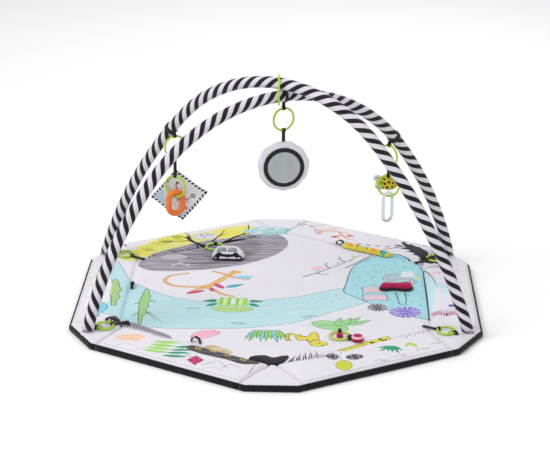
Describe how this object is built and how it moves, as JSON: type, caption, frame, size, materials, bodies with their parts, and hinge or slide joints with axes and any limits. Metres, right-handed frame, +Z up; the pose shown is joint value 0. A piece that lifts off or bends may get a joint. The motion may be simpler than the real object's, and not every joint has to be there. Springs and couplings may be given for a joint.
{
  "type": "activity play gym",
  "caption": "Padded hexagonal baby play mat with fold-up side walls, crossed arches in striped sleeves, and hanging and lying soft toys on link rings.",
  "frame": {"origin": "on the floor under the middle of the mat", "axes": "+Z up, -Y towards the mat's front corner, +X towards the middle of its right wall"},
  "size_m": [0.95, 1.0294, 0.5598],
  "materials": {
    "printed_fabric": "soft",
    "foam": "matte",
    "black_fabric": "matte",
    "pocket_fabric": "soft",
    "black_webbing": "matte",
    "lime_plastic": "gloss",
    "striped_fabric": "soft",
    "pole_plastic": "satin",
    "ferrule_metal": "satin",
    "foot_plastic": "satin",
    "white_fabric": "soft",
    "bezel_fabric": "satin",
    "mirror_film": "polished",
    "teether_rubber": "satin",
    "cloth_fabric": "soft",
    "spotted_fabric": "soft",
    "clear_plastic": "gloss",
    "bead_plastic": "gloss",
    "pink_fabric": "soft",
    "magenta_fabric": "soft"
  },
  "bodies": {
    "mat": {"floor_cover": "printed_fabric", "floor_core": "foam", "mat_backing": "black_fabric", "tab_covers": "printed_fabric", "tab_cores": "foam", "pole_pockets": "pocket_fabric", "corner_straps": "black_webbing", "retainer_rings": "lime_plastic", "foot_loops": "black_webbing", "crease_loops": "black_webbing", "toy_loops": "black_webbing", "spotted_strip": "spotted_fabric"},
    "wall_front_left": {"wall_front_left_cover": "printed_fabric", "wall_front_left_backing": "black_fabric"},
    "wall_front_right": {"wall_front_right_cover": "printed_fabric", "wall_front_right_backing": "black_fabric"},
    "wall_right": {"wall_right_cover": "printed_fabric", "wall_right_backing": "black_fabric"},
    "wall_rear_right": {"wall_rear_right_cover": "printed_fabric", "wall_rear_right_backing": "black_fabric"},
    "wall_rear_left": {"wall_rear_left_cover": "printed_fabric", "wall_rear_left_backing": "black_fabric"},
    "wall_left": {"wall_left_cover": "printed_fabric", "wall_left_backing": "black_fabric"},
    "arch_frame": {"upper_sleeve": "striped_fabric", "upper_poles": "pole_plastic", "upper_ferrules": "ferrule_metal", "upper_feet": "foot_plastic", "lower_sleeve": "striped_fabric", "lower_poles": "pole_plastic", "lower_ferrules": "ferrule_metal", "lower_feet": "foot_plastic", "crossing_ring": "lime_plastic", "crossing_strap": "black_webbing", "left_arch_strap": "black_webbing", "right_arch_strap": "black_webbing"},
    "mirror_hanger": {"mirror_link": "lime_plastic"},
    "mirror_toy": {"mirror_strap": "black_webbing", "mirror_cushion": "white_fabric", "mirror_bezel": "bezel_fabric", "mirror_face": "mirror_film"},
    "left_hanger": {"left_link": "lime_plastic", "left_strap": "black_webbing"},
    "left_toy_ring": {"left_ring": "lime_plastic"},
    "teether_toy": {"teether": "teether_rubber"},
    "cloth_toy": {"crinkle_cloth": "cloth_fabric"},
    "right_hanger": {"right_link": "lime_plastic", "right_strap": "black_webbing"},
    "right_toy_ring": {"right_ring": "lime_plastic"},
    "plush_toy": {"spotted_plush": "spotted_fabric"},
    "rattle_toy": {"rattle_ring": "clear_plastic"},
    "loose_beads": {"rattle_beads": "bead_plastic"},
    "car_ring": {"car_toy_ring": "lime_plastic"},
    "car_toy": {"car_toy_tag": "pink_fabric", "car_toy_cushion": "white_fabric"},
    "wing_toy": {"wing_cushion": "magenta_fabric", "wing_base": "bezel_fabric"},
    "disc_toy": {"disc_toy_ring": "lime_plastic", "disc_toy_straps": "black_webbing", "disc_toy_discs": "magenta_fabric"}
  },
  "joints": [
    {"name": "wall_front_left_fold", "type": "hinge", "parent": "mat", "child": "wall_front_left", "pos_m": [-0.179, -0.31004, 0.02], "axis": [-0.866, 0.5, 0], "range_deg": [0, 85]},
    {"name": "wall_front_right_fold", "type": "hinge", "parent": "mat", "child": "wall_front_right", "pos_m": [0.179, -0.31004, 0.02], "axis": [-0.866, -0.5, 0], "range_deg": [0, 85]},
    {"name": "wall_right_fold", "type": "hinge", "parent": "mat", "child": "wall_right", "pos_m": [0.358, 0, 0.02], "axis": [0, -1, 0], "range_deg": [0, 85]},
    {"name": "wall_rear_right_fold", "type": "hinge", "parent": "mat", "child": "wall_rear_right", "pos_m": [0.179, 0.31004, 0.02], "axis": [0.866, -0.5, 0], "range_deg": [0, 85]},
    {"name": "wall_rear_left_fold", "type": "hinge", "parent": "mat", "child": "wall_rear_left", "pos_m": [-0.179, 0.31004, 0.02], "axis": [0.866, 0.5, 0], "range_deg": [0, 85]},
    {"name": "wall_left_fold", "type": "hinge", "parent": "mat", "child": "wall_left", "pos_m": [-0.358, 0, 0.02], "axis": [0, 1, 0], "range_deg": [0, 85]},
    {"name": "arch_lift", "type": "slide", "parent": "mat", "child": "arch_frame", "axis": [0, 0, 1], "range_m": [0, 0.06]},
    {"name": "mirror_link_swing", "type": "hinge", "parent": "arch_frame", "child": "mirror_hanger", "pos_m": [0.01231, 0.00734, 0.477], "axis": [0.866, 0.5, 0], "range_deg": [-30, 30]},
    {"name": "mirror_swing", "type": "hinge", "parent": "mirror_hanger", "child": "mirror_toy", "pos_m": [0.01231, 0.00734, 0.424], "axis": [0.866, 0.5, 0], "range_deg": [-30, 30]},
    {"name": "left_hanger_swing", "type": "hinge", "parent": "arch_frame", "child": "left_hanger", "pos_m": [-0.25252, 0.1309, 0.367], "axis": [0.8387, 0.5446, 0], "range_deg": [-20, 14]},
    {"name": "left_ring_swing", "type": "hinge", "parent": "left_hanger", "child": "left_toy_ring", "pos_m": [-0.25252, 0.1309, 0.265], "axis": [0.9397, -0.342, 0], "range_deg": [-35, 0]},
    {"name": "teether_swing", "type": "hinge", "parent": "left_toy_ring", "child": "teether_toy", "pos_m": [-0.25252, 0.1309, 0.212], "axis": [0.9397, -0.342, 0], "range_deg": [-12, 3]},
    {"name": "cloth_swing", "type": "hinge", "parent": "left_hanger", "child": "cloth_toy", "pos_m": [-0.25252, 0.14089, 0.279], "axis": [1, 0, 0], "range_deg": [0, 30]},
    {"name": "right_hanger_swing", "type": "hinge", "parent": "arch_frame", "child": "right_hanger", "pos_m": [0.26538, 0.1582, 0.341], "axis": [0.6947, -0.7193, 0], "range_deg": [-20, 14]},
    {"name": "right_ring_swing", "type": "hinge", "parent": "right_hanger", "child": "right_toy_ring", "pos_m": [0.26538, 0.1582, 0.264], "axis": [0.9703, -0.2419, 0], "range_deg": [-35, 3]},
    {"name": "plush_swing", "type": "hinge", "parent": "right_hanger", "child": "plush_toy", "pos_m": [0.26538, 0.17319, 0.264], "axis": [1, 0, 0], "range_deg": [0, 25]},
    {"name": "rattle_swing", "type": "hinge", "parent": "right_toy_ring", "child": "rattle_toy", "pos_m": [0.26538, 0.1582, 0.211], "axis": [0.9703, -0.2419, 0], "range_deg": [-30, 20]},
    {"name": "bead_roll", "type": "hinge", "parent": "rattle_toy", "child": "loose_beads", "pos_m": [0.26538, 0.1582, 0.1606], "axis": [-0.6157, 0.788, 0], "range_deg": [-20, 20]},
    {"name": "car_ring_lift", "type": "hinge", "parent": "mat", "child": "car_ring", "pos_m": [-0.166, 0.306, 0.0235], "axis": [-1, 0, 0], "range_deg": [0, 50]},
    {"name": "car_lift", "type": "hinge", "parent": "car_ring", "child": "car_toy", "pos_m": [-0.15009, 0.26759, 0.0235], "axis": [-0.7071, -0.7071, 0], "range_deg": [0, 20]},
    {"name": "wing_lift", "type": "hinge", "parent": "mat", "child": "wing_toy", "pos_m": [0.288, 0.048, 0.0204], "axis": [-1, 0, 0], "range_deg": [0, 50]},
    {"name": "disc_toy_lift", "type": "hinge", "parent": "mat", "child": "disc_toy", "pos_m": [0.148, -0.24, 0.0235], "axis": [-1, 0, 0], "range_deg": [0, 60]}
  ]
}
